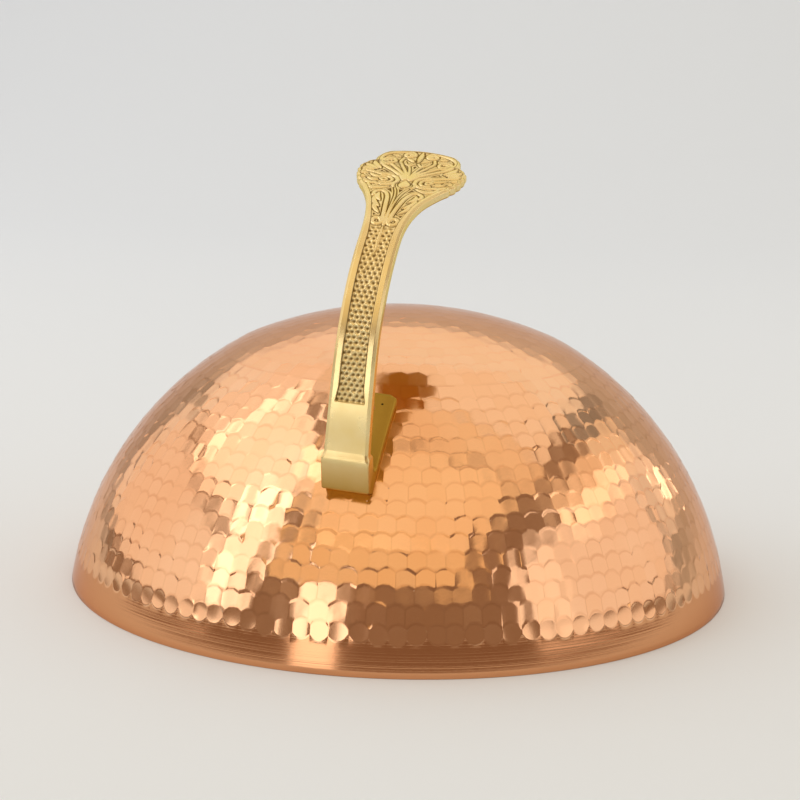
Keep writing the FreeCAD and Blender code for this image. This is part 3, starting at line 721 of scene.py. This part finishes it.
def evenly(points, count):
    """The same line walked in even steps."""
    points = np.asarray(points)
    walked = np.append(0.0, np.cumsum(np.linalg.norm(np.diff(points, axis=0), axis=1)))
    steps = np.linspace(0.0, walked[-1], count)
    return np.stack([np.interp(steps, walked, points[:, i]) for i in (0, 1)], 1)


def where_line_meets(start, direction, centre, radius):
    """Where a line that comes from outside a circle first meets it."""
    offset, way = start - centre, direction / np.linalg.norm(direction)
    closing = -offset @ way
    return start + way * (closing - sqrt(radius ** 2 - offset @ offset + closing ** 2))


# Points along each run of the foot's side view, and the turn along the leaf that shows its way at the fold
FOLD_POINTS = 12
TOE_POINTS = 5
BROW_POINTS = 8
BLOCK_POINTS = 14
LEAF_POINTS = 26
LEAF_AHEAD = 0.03


def foot_sections():
    """Front and back points and half widths of the block, the fold and the leaf, from the shoulder on."""
    under, over = SIDE_RADIUS + SEAT_GAP, SIDE_RADIUS + SEAT_GAP + LEAF_THICKNESS
    toe, brow = np.array(BLOCK_BOTTOM), np.array(BLOCK_TOP)
    heel_angle = asin((FOOT_BOTTOM - SIDE_CENTRE) / under)
    heel = on_ball(under, heel_angle)
    ledge = np.array((STRAP_REACH, BLOCK_SHOULDER))
    back = np.array((STRAP_REACH - STRAP_THICKNESS, BLOCK_SHOULDER))
    ball_centre = np.array((0.0, SIDE_CENTRE))
    crook = where_line_meets(back, toe - brow, ball_centre, over)
    crook_angle = atan2(crook[1] - SIDE_CENTRE, crook[0])
    bow = rounded_corner(back, crook, on_ball(over, crook_angle + LEAF_AHEAD), FOLD_FILLET, FOLD_POINTS)
    bow_angle = atan2(bow[-1][1] - SIDE_CENTRE, bow[-1][0])
    toe_bow = rounded_corner(brow, toe, heel, TOE_FILLET, TOE_POINTS)
    brow_bow = rounded_corner(ledge, brow, toe, BROW_FILLET, BROW_POINTS)

    block_front = np.concatenate([brow_bow[:-1], evenly([brow_bow[-1], toe_bow[0]], BLOCK_POINTS)])
    block_back = evenly([back, bow[0]], len(block_front) + 2)[1:-1]
    fold_front = evenly(np.concatenate([toe_bow[1:], [heel]]), len(bow))
    leaf_steps = np.linspace(0.0, 1.0, LEAF_POINTS)[1:]
    leaf_front = [on_ball(under, heel_angle + (LEAF_TOP - heel_angle) * step) for step in leaf_steps]
    leaf_back = [on_ball(over, bow_angle + (LEAF_TOP - bow_angle) * step) for step in leaf_steps]
    fronts = np.concatenate([block_front, fold_front, leaf_front])
    backs = np.concatenate([block_back, bow, leaf_back])

    halves = np.full(len(fronts), FOOT_WIDTH / 2)
    strap_end = float(strap_half(np.array(STRAP_SHOULDER)))
    swell = ramp((BLOCK_SHOULDER - block_front[:, 1]) / (BLOCK_SHOULDER - BLOCK_TOP[1]))
    halves[:len(block_front)] = strap_end + (FOOT_WIDTH / 2 - strap_end) * swell
    from_end = (1.0 - leaf_steps) * (LEAF_TOP - heel_angle) * over
    cut = np.clip(LEAF_CORNER - from_end, 0.0, LEAF_CORNER)
    halves[-len(leaf_steps):] -= LEAF_CORNER - np.sqrt(LEAF_CORNER ** 2 - cut ** 2)
    return fronts, backs, halves


def seated(points):
    """Points of the handle turned to where it sits on the dome."""
    axis = Vector((0.0, -cos(SEAT_ANGLE), sin(SEAT_ANGLE)))
    turn = np.array(Matrix.Rotation(SEAT_TURN, 3, axis))
    middle = np.array((0.0, 0.0, SIDE_CENTRE))
    return (points - middle) @ turn.T + middle


# Rounded and raw edges of the handle, and how close its rings stand from the tip down to the shoulder
BACK_ROUNDING = 1.2
ROUNDING_SHARE = 0.4
FOOT_ROUNDING = 0.8
FOOT_BEVEL = 0.1
BLOCK_RAW = 0.15
PLATE_STEP = 0.4
STRAP_STEP = 0.38
TIP_RUN = 3.0
TIP_FIRST = 0.03
TIP_POINTS = 18
TIP_EDGE_FROM = NOTCH[1] + 2.0
PANEL_RUNS_ON = 1.5
PLAIN_BEGINS = 2.0
PLAIN_POINTS = 26


def cast_handle():
    """The handle in one skin: thumb plate, bend, strap, block, fold and leaf."""
    tip_steps = PLATE_LENGTH - TIP_RUN * np.linspace(TIP_FIRST, 1.0, TIP_POINTS) ** 2
    alongs = np.concatenate([tip_steps, np.arange(tip_steps[-1] - PLATE_STEP, PITS_BEGIN, -PLATE_STEP),
                             np.arange(PITS_BEGIN, PANEL_FOOT - PANEL_RUNS_ON, -STRAP_STEP),
                             np.linspace(PANEL_FOOT - PLAIN_BEGINS, STRAP_SHOULDER, PLAIN_POINTS)])
    halves = strap_half(alongs)
    across = halves[:, None] * FRONT_COLUMNS[None]
    along = np.broadcast_to(alongs[:, None], across.shape)
    edge = halves[:, None] - np.abs(across)
    tip_edge = TIP_RADIUS - np.hypot(across, along - (PLATE_LENGTH - TIP_RADIUS))
    edge = np.where(along > TIP_EDGE_FROM, np.minimum(edge, np.maximum(tip_edge, 0.0)), edge)
    relief, recess = [values.reshape(across.shape)
                      for values in front_relief(across.ravel(), along.ravel(), edge.ravel())]

    sheet = Sheet()
    rings, recesses, raws = [], [], []

    def add_ring(front, back, half, heights, rounding, dark, raw):
        rings.append(sheet.ring(cross_section(front, back, half, heights, rounding)))
        recesses.append(np.append(dark, np.zeros(RING_REST)))
        side = np.full(len(SIDE_STEPS), raw)
        # The back always takes the full raw colour, darker than the buffed front
        raws.append(np.concatenate([np.full(len(FRONT_COLUMNS), raw), side, np.ones(BACK_COUNT), side]))

    for place, half, heights, dark in zip(alongs, halves, relief, recess):
        front, inward = strap_front(place)
        back = front + inward * strap_depth(place)
        raw = BLOCK_RAW * float(ramp((PANEL_FOOT - place) / (PANEL_FOOT - STRAP_SHOULDER)))
        add_ring(front, back, half, heights, min(BACK_ROUNDING, ROUNDING_SHARE * half), dark, raw)
    bevel = np.clip(1.0 - (1.0 - np.abs(FRONT_COLUMNS)) / FOOT_BEVEL, 0.0, 1.0)
    foot_heights = -FOOT_ROUNDING * (1.0 - np.sqrt(1.0 - bevel ** 2))
    strap_heights = relief[-1]
    down = 0.0
    for front, back, half in zip(*foot_sections()):
        down = max(down, float(ramp((BLOCK_SHOULDER - front[1]) / (BLOCK_SHOULDER - BLOCK_TOP[1]))))
        heights = strap_heights + (foot_heights - strap_heights) * down
        # The leaf inside the fold takes the raw colour, kept dark also as painted shadow of the strap over it
        inside_fold = float(ramp((STRAP_REACH - STRAP_THICKNESS - back[0]) / FOLD_FILLET))
        raw = BLOCK_RAW + (1.0 - BLOCK_RAW) * inside_fold
        add_ring(front, back, half, heights, FOOT_ROUNDING, np.zeros(len(FRONT_COLUMNS)), raw)
    sheet.skin(rings, downwards=True)
    # One face closes each end
    sheet.faces.append(rings[0].tolist())
    sheet.faces.append(rings[-1][::-1].tolist())

    handle = object_from("cast_handle", seated(np.array(sheet.points)), sheet.faces)
    keep_values(handle, "recess", "POINT", np.concatenate(recesses))
    keep_values(handle, "raw_cast_and_shade", "POINT", np.concatenate(raws))
    return handle


# Materials. Sizes of patterns and depths of marks are given in millimetres.

def per_metre(size_mm):
    """The scale of a pattern with marks of a given size."""
    return 1.0 / (size_mm * MM)


def place_on(tree, scale=None):
    """Where a point lies on its piece; a scale draws the pattern out or in along each axis."""
    place = add_node(tree, "TexCoord").outputs["Object"]
    if scale:
        place = add_node(tree, "Mapping", {"Vector": place, "Scale": scale}).outputs["Vector"]
    return place


def kept_value(tree, name):
    """A value that the mesh keeps for its material."""
    return add_node(tree, "Attribute", attribute_name=name).outputs["Fac"]


def clouds(tree, place, size_mm, detail, roughness=0.5):
    """A cloudy pattern with patches of about a given size."""
    return add_node(tree, "TexNoise", {"Vector": place, "Scale": per_metre(size_mm), "Detail": detail,
                                       "Roughness": roughness}).outputs["Fac"]


# Sockets of a mix of colours, by number because other kinds of mix share their names
MIX_SHARE, MIX_ONE, MIX_OTHER, MIX_COLOUR = 0, 6, 7, 2


def blend(tree, share, one, other):
    """A share of the way from one colour to another; each is a hex colour or comes from a node."""
    one, other = [linear(colour) if isinstance(colour, str) else colour for colour in (one, other)]
    mix = add_node(tree, "Mix", {MIX_SHARE: share, MIX_ONE: one, MIX_OTHER: other}, data_type="RGBA")
    return mix.outputs[MIX_COLOUR]


def spread(tree, value, low, high, start=0.0, end=1.0):
    """A value that goes from low to high while another goes from start to end."""
    return add_node(tree, "MapRange", {"Value": value, "From Min": start, "From Max": end, "To Min": low,
                                       "To Max": high}).outputs["Result"]


def reckon(tree, operation, *values):
    """A sum worked out from values or from what other nodes give."""
    return add_node(tree, "Math", dict(enumerate(values)), operation=operation).outputs["Value"]


def bumped(tree, height, depth_mm, strength, **under):
    """How a pattern of a given depth tilts the face, on top of another bump where one is given."""
    return add_node(tree, "Bump", {"Height": height, "Distance": depth_mm * MM, "Strength": strength,
                                   **under}).outputs["Normal"]


def finish_metal(tree, colour, gloss, tilt, edge="#FFFFFF"):
    """Bare metal; its edge colour tints what it mirrors where it is seen at a slant."""
    shader = add_node(tree, "BsdfPrincipled", {"Base Color": colour, "Metallic": 1.0, "Normal": tilt,
                                              "Roughness": gloss, "Specular Tint": linear(edge)})
    add_node(tree, "OutputMaterial", {"Surface": shader.outputs["BSDF"]})


LINE_SHADE_STRENGTH = 0.3


def hammered_copper():
    """Copper sheet, hammered with a polished face: each mark mirrors one patch of the room, a shade apart."""
    material, tree = new_material("copper_hammered_polished")
    place = place_on(tree)
    tone, spun, line = [kept_value(tree, name) for name in ("mark_tone", "spun_band", "mark_line_shade")]
    struck = blend(tree, tone, "#F7C092", "#FAC599")
    patina = spread(tree, clouds(tree, place, size_mm=70.0, detail=2.0), 0.0, 0.5, start=0.45, end=0.8)
    colour = blend(tree, patina, struck, "#F0AE7C")
    # Painted shade: a fine dark line in the crease between one mark and the next
    line_shaded = blend(tree, reckon(tree, "MULTIPLY", line, LINE_SHADE_STRENGTH), colour, "#C07A48")
    # The spun band, left browner than the struck and polished marks
    banded = blend(tree, spun, line_shaded, "#E0A274")

    # Fine rings that the spinning tool left on the smooth band
    level = add_node(tree, "SeparateXYZ", {"Vector": place}).outputs["Z"]
    rings = add_node(tree, "TexNoise", {"W": level, "Scale": per_metre(1.3), "Detail": 3.0},
                     noise_dimensions="1D").outputs["Fac"]
    turned = bumped(tree, reckon(tree, "MULTIPLY", rings, spun), depth_mm=0.07, strength=0.8)
    # Faint grain of the hammer's face inside each mark
    grain = clouds(tree, place, size_mm=2.2, detail=3.0)
    struck_face = bumped(tree, grain, depth_mm=0.02, strength=0.35, Normal=turned)
    # The tint keeps the edges copper, where the sheet is seen at a slant
    finish_metal(tree, banded, spread(tree, tone, 0.11, 0.17), struck_face, edge="#EBD7CD")
    return material


def tin_lining():
    """Tin wiped on by hand: a soft grey mirror with faint streaks round the dome."""
    material, tree = new_material("tin_wiped_lining")
    drawn_in = place_on(tree, scale=(1.0, 1.0, 6.0))
    wipes = clouds(tree, drawn_in, size_mm=25.0, detail=5.0, roughness=0.6)
    colour = blend(tree, wipes, "#B9B5AC", "#DDDAD3")
    uneven = bumped(tree, wipes, depth_mm=0.15, strength=0.3)
    finish_metal(tree, colour, spread(tree, wipes, 0.28, 0.46), uneven)
    return material


# The blowhole's place across and up the leaf, its size, and where its edge begins and ends against that
BLOWHOLE = (5.3, radians(52.5))
BLOWHOLE_RADIUS = 0.55
BLOWHOLE_EDGE = (0.8, 1.2)
RECESS_DULLNESS = 0.3
RAW_DULLNESS = 0.22


def cast_brass():
    """Cast brass: bright where the wheel reached, brown in recesses as tarnish and painted shade, olive and
    grainy where left as cast.
    """
    material, tree = new_material("brass_cast_and_buffed")
    place = place_on(tree)
    recess, raw = kept_value(tree, "recess"), kept_value(tree, "raw_cast_and_shade")
    stain = clouds(tree, place, size_mm=9.0, detail=3.0)
    grain = clouds(tree, place, size_mm=0.45, detail=4.0, roughness=0.65)
    buffed = blend(tree, stain, "#F4E0AC", "#EACE8A")
    # The raw colour is dark partly as the cast skin and partly as painted shadow on the leaf under the strap
    raw_and_shaded = blend(tree, grain, "#AB8834", "#C29C45")
    # Tarnish and painted shade: recesses, pits, walls and holes darken towards brown
    dark = spread(tree, recess, 0.0, 0.95, start=0.15, end=0.72)
    aged_and_shaded = blend(tree, dark, blend(tree, raw, buffed, raw_and_shaded), "#705628")

    # One blowhole of the casting, on the leaf beside the strap, painted as a dark spot: painted shade of a
    # hole that the mesh doesn't have
    spot = on_ball(SIDE_RADIUS + SEAT_GAP + LEAF_THICKNESS, BLOWHOLE[1])
    hole_place = seated(np.array([[BLOWHOLE[0], -spot[0], spot[1]]]))[0] * MM
    away = add_node(tree, "VectorMath", {0: place, 1: hole_place.tolist()}, operation="DISTANCE")
    inner, outer = [share * BLOWHOLE_RADIUS * MM for share in BLOWHOLE_EDGE]
    hole = spread(tree, away.outputs["Value"], 0.0, 1.0, start=outer, end=inner)
    colour = blend(tree, hole, aged_and_shaded, "#1E170C")

    duller = reckon(tree, "MULTIPLY_ADD", recess, RECESS_DULLNESS, spread(tree, stain, 0.2, 0.34))
    gloss = reckon(tree, "MULTIPLY_ADD", raw, RAW_DULLNESS, duller)
    skin = bumped(tree, grain, depth_mm=0.06, strength=spread(tree, raw, 0.08, 0.45))
    finish_metal(tree, colour, gloss, skin, edge="#F9ECB2")
    return material


def rivet_copper():
    """Copper rivets, hammered tight and filed: darker than the dome, with short file strokes."""
    material, tree = new_material("copper_rivet_filed")
    drawn_out = place_on(tree, scale=(0.2, 1.0, 1.0))
    strokes = clouds(tree, drawn_out, size_mm=0.5, detail=3.0)
    colour = blend(tree, strokes, "#B4714E", "#D99A74")
    filed = bumped(tree, strokes, depth_mm=0.05, strength=0.4)
    finish_metal(tree, colour, spread(tree, strokes, 0.25, 0.42), filed)
    return material


# Stage: a pale floor that sweeps up behind the lid, soft light and the camera

FLOOR_HALF = 4500.0
SWEEP_START = 1500.0
SWEEP_RADIUS = 1500.0
SWEEP_POINTS = 24
WALL_TOP = 4500.0
ROOM_BRIGHTNESS = 0.55


def build_stage():
    """A floor and back wall in one sweep of pale, plain paper without a shine, in a dim room."""
    turns = np.linspace(0.0, pi / 2, SWEEP_POINTS)
    sweep = [(SWEEP_START + SWEEP_RADIUS * sin(turn), SWEEP_RADIUS * (1.0 - cos(turn)))
             for turn in turns]
    line = [(-FLOOR_HALF, 0.0)] + sweep + [(SWEEP_START + SWEEP_RADIUS, WALL_TOP)]
    points = [(side, depth, height) for depth, height in line for side in (-FLOOR_HALF, FLOOR_HALF)]
    faces = [(i, i + 1, i + 3, i + 2) for i in range(0, len(points) - 2, 2)]
    floor = object_from("floor", points, faces)
    material, tree = new_material("paper_sweep_pale")
    shader = add_node(tree, "BsdfPrincipled", {"Base Color": linear("#E9EBEF"), "Roughness": 0.9,
                                              "Specular IOR Level": 0.0})
    add_node(tree, "OutputMaterial", {"Surface": shader.outputs["BSDF"]})
    floor.data.materials.append(material)

    # The room is neutral where it lights, and warm where the metal mirrors it between the lamps
    world = bpy.data.worlds.new("studio")
    bpy.context.scene.world = world
    world.use_nodes = True
    room = world.node_tree
    path = add_node(room, "LightPath")
    colour = blend(room, path.outputs["Is Glossy Ray"], "#BDBAB5", "#BDA088")
    background = room.nodes["Background"]
    room.links.new(colour, background.inputs["Color"])
    background.inputs["Strength"].default_value = ROOM_BRIGHTNESS


# Lamp: its turn from the front (+ to the right) and height as seen from the lid, in degrees, its distance,
# width and height in metres, its brightness (1 is white), and its colour where it isn't white. One card
# shows in the metal only.
METAL_ONLY = "front_card"
LAMPS = {
    "left_softbox": (-92.0, 16.0, 2.0, 3.0, 0.95, 0.72),
    "left_top": (-78.0, 48.5, 2.0, 1.45, 1.2, 1.1),
    "left_glow": (-51.0, 28.0, 1.9, 0.5, 1.3, 1.35),
    "right_softbox": (88.0, 18.5, 2.0, 2.6, 1.2, 0.7),
    "right_far": (131.0, 15.0, 2.0, 0.55, 0.6, 0.53),
    "right_glow": (60.0, 18.0, 1.9, 0.5, 0.8, 0.2),
    "right_spot": (138.0, 11.0, 2.1, 0.2, 0.25, 2.0),
    "front_fill": (-2.0, 34.5, 2.3, 2.9, 0.65, 0.65, "#FFE9B8"),
    METAL_ONLY: (-15.2, 5.0, 0.745, 0.17, 0.328, 1.65),
}
# Ceiling panel: its middle, width and depth in metres, its brightness, and its colour as above
CEILING = {
    "ceiling_front": ((0.25, -1.235, 1.9), 2.5, 1.53, 0.74, "#FFF0CC"),
    "ceiling_middle": ((0.575, -0.155, 1.9), 2.25, 0.51, 0.67, "#FFF0D0"),
    "ceiling_back": ((0.4, 1.66, 1.9), 2.3, 3.08, 0.71, "#FFFCF2"),
    "ceiling_left": ((-1.78, 1.775, 1.9), 2.04, 2.85, 0.76),
    "ceiling_right": ((2.59, 1.4, 1.9), 1.22, 3.6, 0.65, "#FFF3DC"),
}
LIT_PLACE = Vector((0.0, 0.0, 0.1))


def add_lamp(name, place, ahead, width, height, brightness, colour="#FFFFFF"):
    """A flat lamp with even light, which the camera doesn't see."""
    lamp = bpy.data.lights.new(name, "AREA")
    lamp.shape = "RECTANGLE"
    lamp.size, lamp.size_y = width, height
    lamp.energy = brightness * pi * width * height
    lamp.color = linear(colour)[:3]
    holder = bpy.data.objects.new(name, lamp)
    bpy.context.collection.objects.link(holder)
    holder.visible_camera = False
    holder.visible_diffuse = name != METAL_ONLY
    holder.location = place
    holder.rotation_euler = ahead.to_track_quat("-Z", "Y").to_euler()


def light_stage():
    """Soft lamps round the lid, and panels over it."""
    for name, (turn, rise, distance, *rest) in LAMPS.items():
        turn, rise = radians(turn), radians(rise)
        away = Vector((cos(rise) * sin(turn), -cos(rise) * cos(turn), sin(rise)))
        add_lamp(name, LIT_PLACE + distance * away, -away, *rest)
    for name, (place, *rest) in CEILING.items():
        add_lamp(name, Vector(place), Vector((0.0, 0.0, -1.0)), *rest)


CAMERA_DISTANCE = 1020.0
CAMERA_RISE = radians(16.277)
CAMERA_SIDE = radians(8.934)
CAMERA_PITCH = radians(11.202)
CAMERA_YAW = radians(-0.094)
CAMERA_ROLL = radians(1.484)
CAMERA_LENS = 86.68
CAMERA_SENSOR = 36.0


def place_camera():
    """The camera as it was fitted to the dome's outline, with its small roll."""
    turn = Matrix.Rotation(CAMERA_SIDE, 3, "Z")
    place = turn @ Vector((0.0, -cos(CAMERA_RISE), sin(CAMERA_RISE))) * CAMERA_DISTANCE * MM
    ahead = turn @ Vector((sin(CAMERA_YAW) * cos(CAMERA_PITCH),
                           cos(CAMERA_YAW) * cos(CAMERA_PITCH), -sin(CAMERA_PITCH)))
    right = ahead.cross(Vector((0.0, 0.0, 1.0))).normalized()
    up = right.cross(ahead)
    across = cos(CAMERA_ROLL) * right + sin(CAMERA_ROLL) * up
    above = cos(CAMERA_ROLL) * up - sin(CAMERA_ROLL) * right
    view = Matrix((across, above, -ahead)).transposed().to_4x4()
    view.translation = place
    data = bpy.data.cameras.new("camera")
    data.lens = CAMERA_LENS
    data.sensor_width = CAMERA_SENSOR
    camera = bpy.data.objects.new("camera", data)
    bpy.context.collection.objects.link(camera)
    camera.matrix_world = view
    bpy.context.scene.camera = camera


dome = raise_dome()
dome.data.materials.append(hammered_copper())
dome.data.materials.append(tin_lining())
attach(dome, "root")
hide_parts("dome_shell")
handle = cast_handle()
handle.data.materials.append(cast_brass())
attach(handle, "root")
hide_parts("lift_handle")
rivet_finish = rivet_copper()
for node in ("handle_rivet_upper", "handle_rivet_lower"):
    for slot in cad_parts[node].material_slots:
        slot.material = rivet_finish

build_stage()
light_stage()
place_camera()
bpy.context.scene.view_settings.view_transform = "Standard"
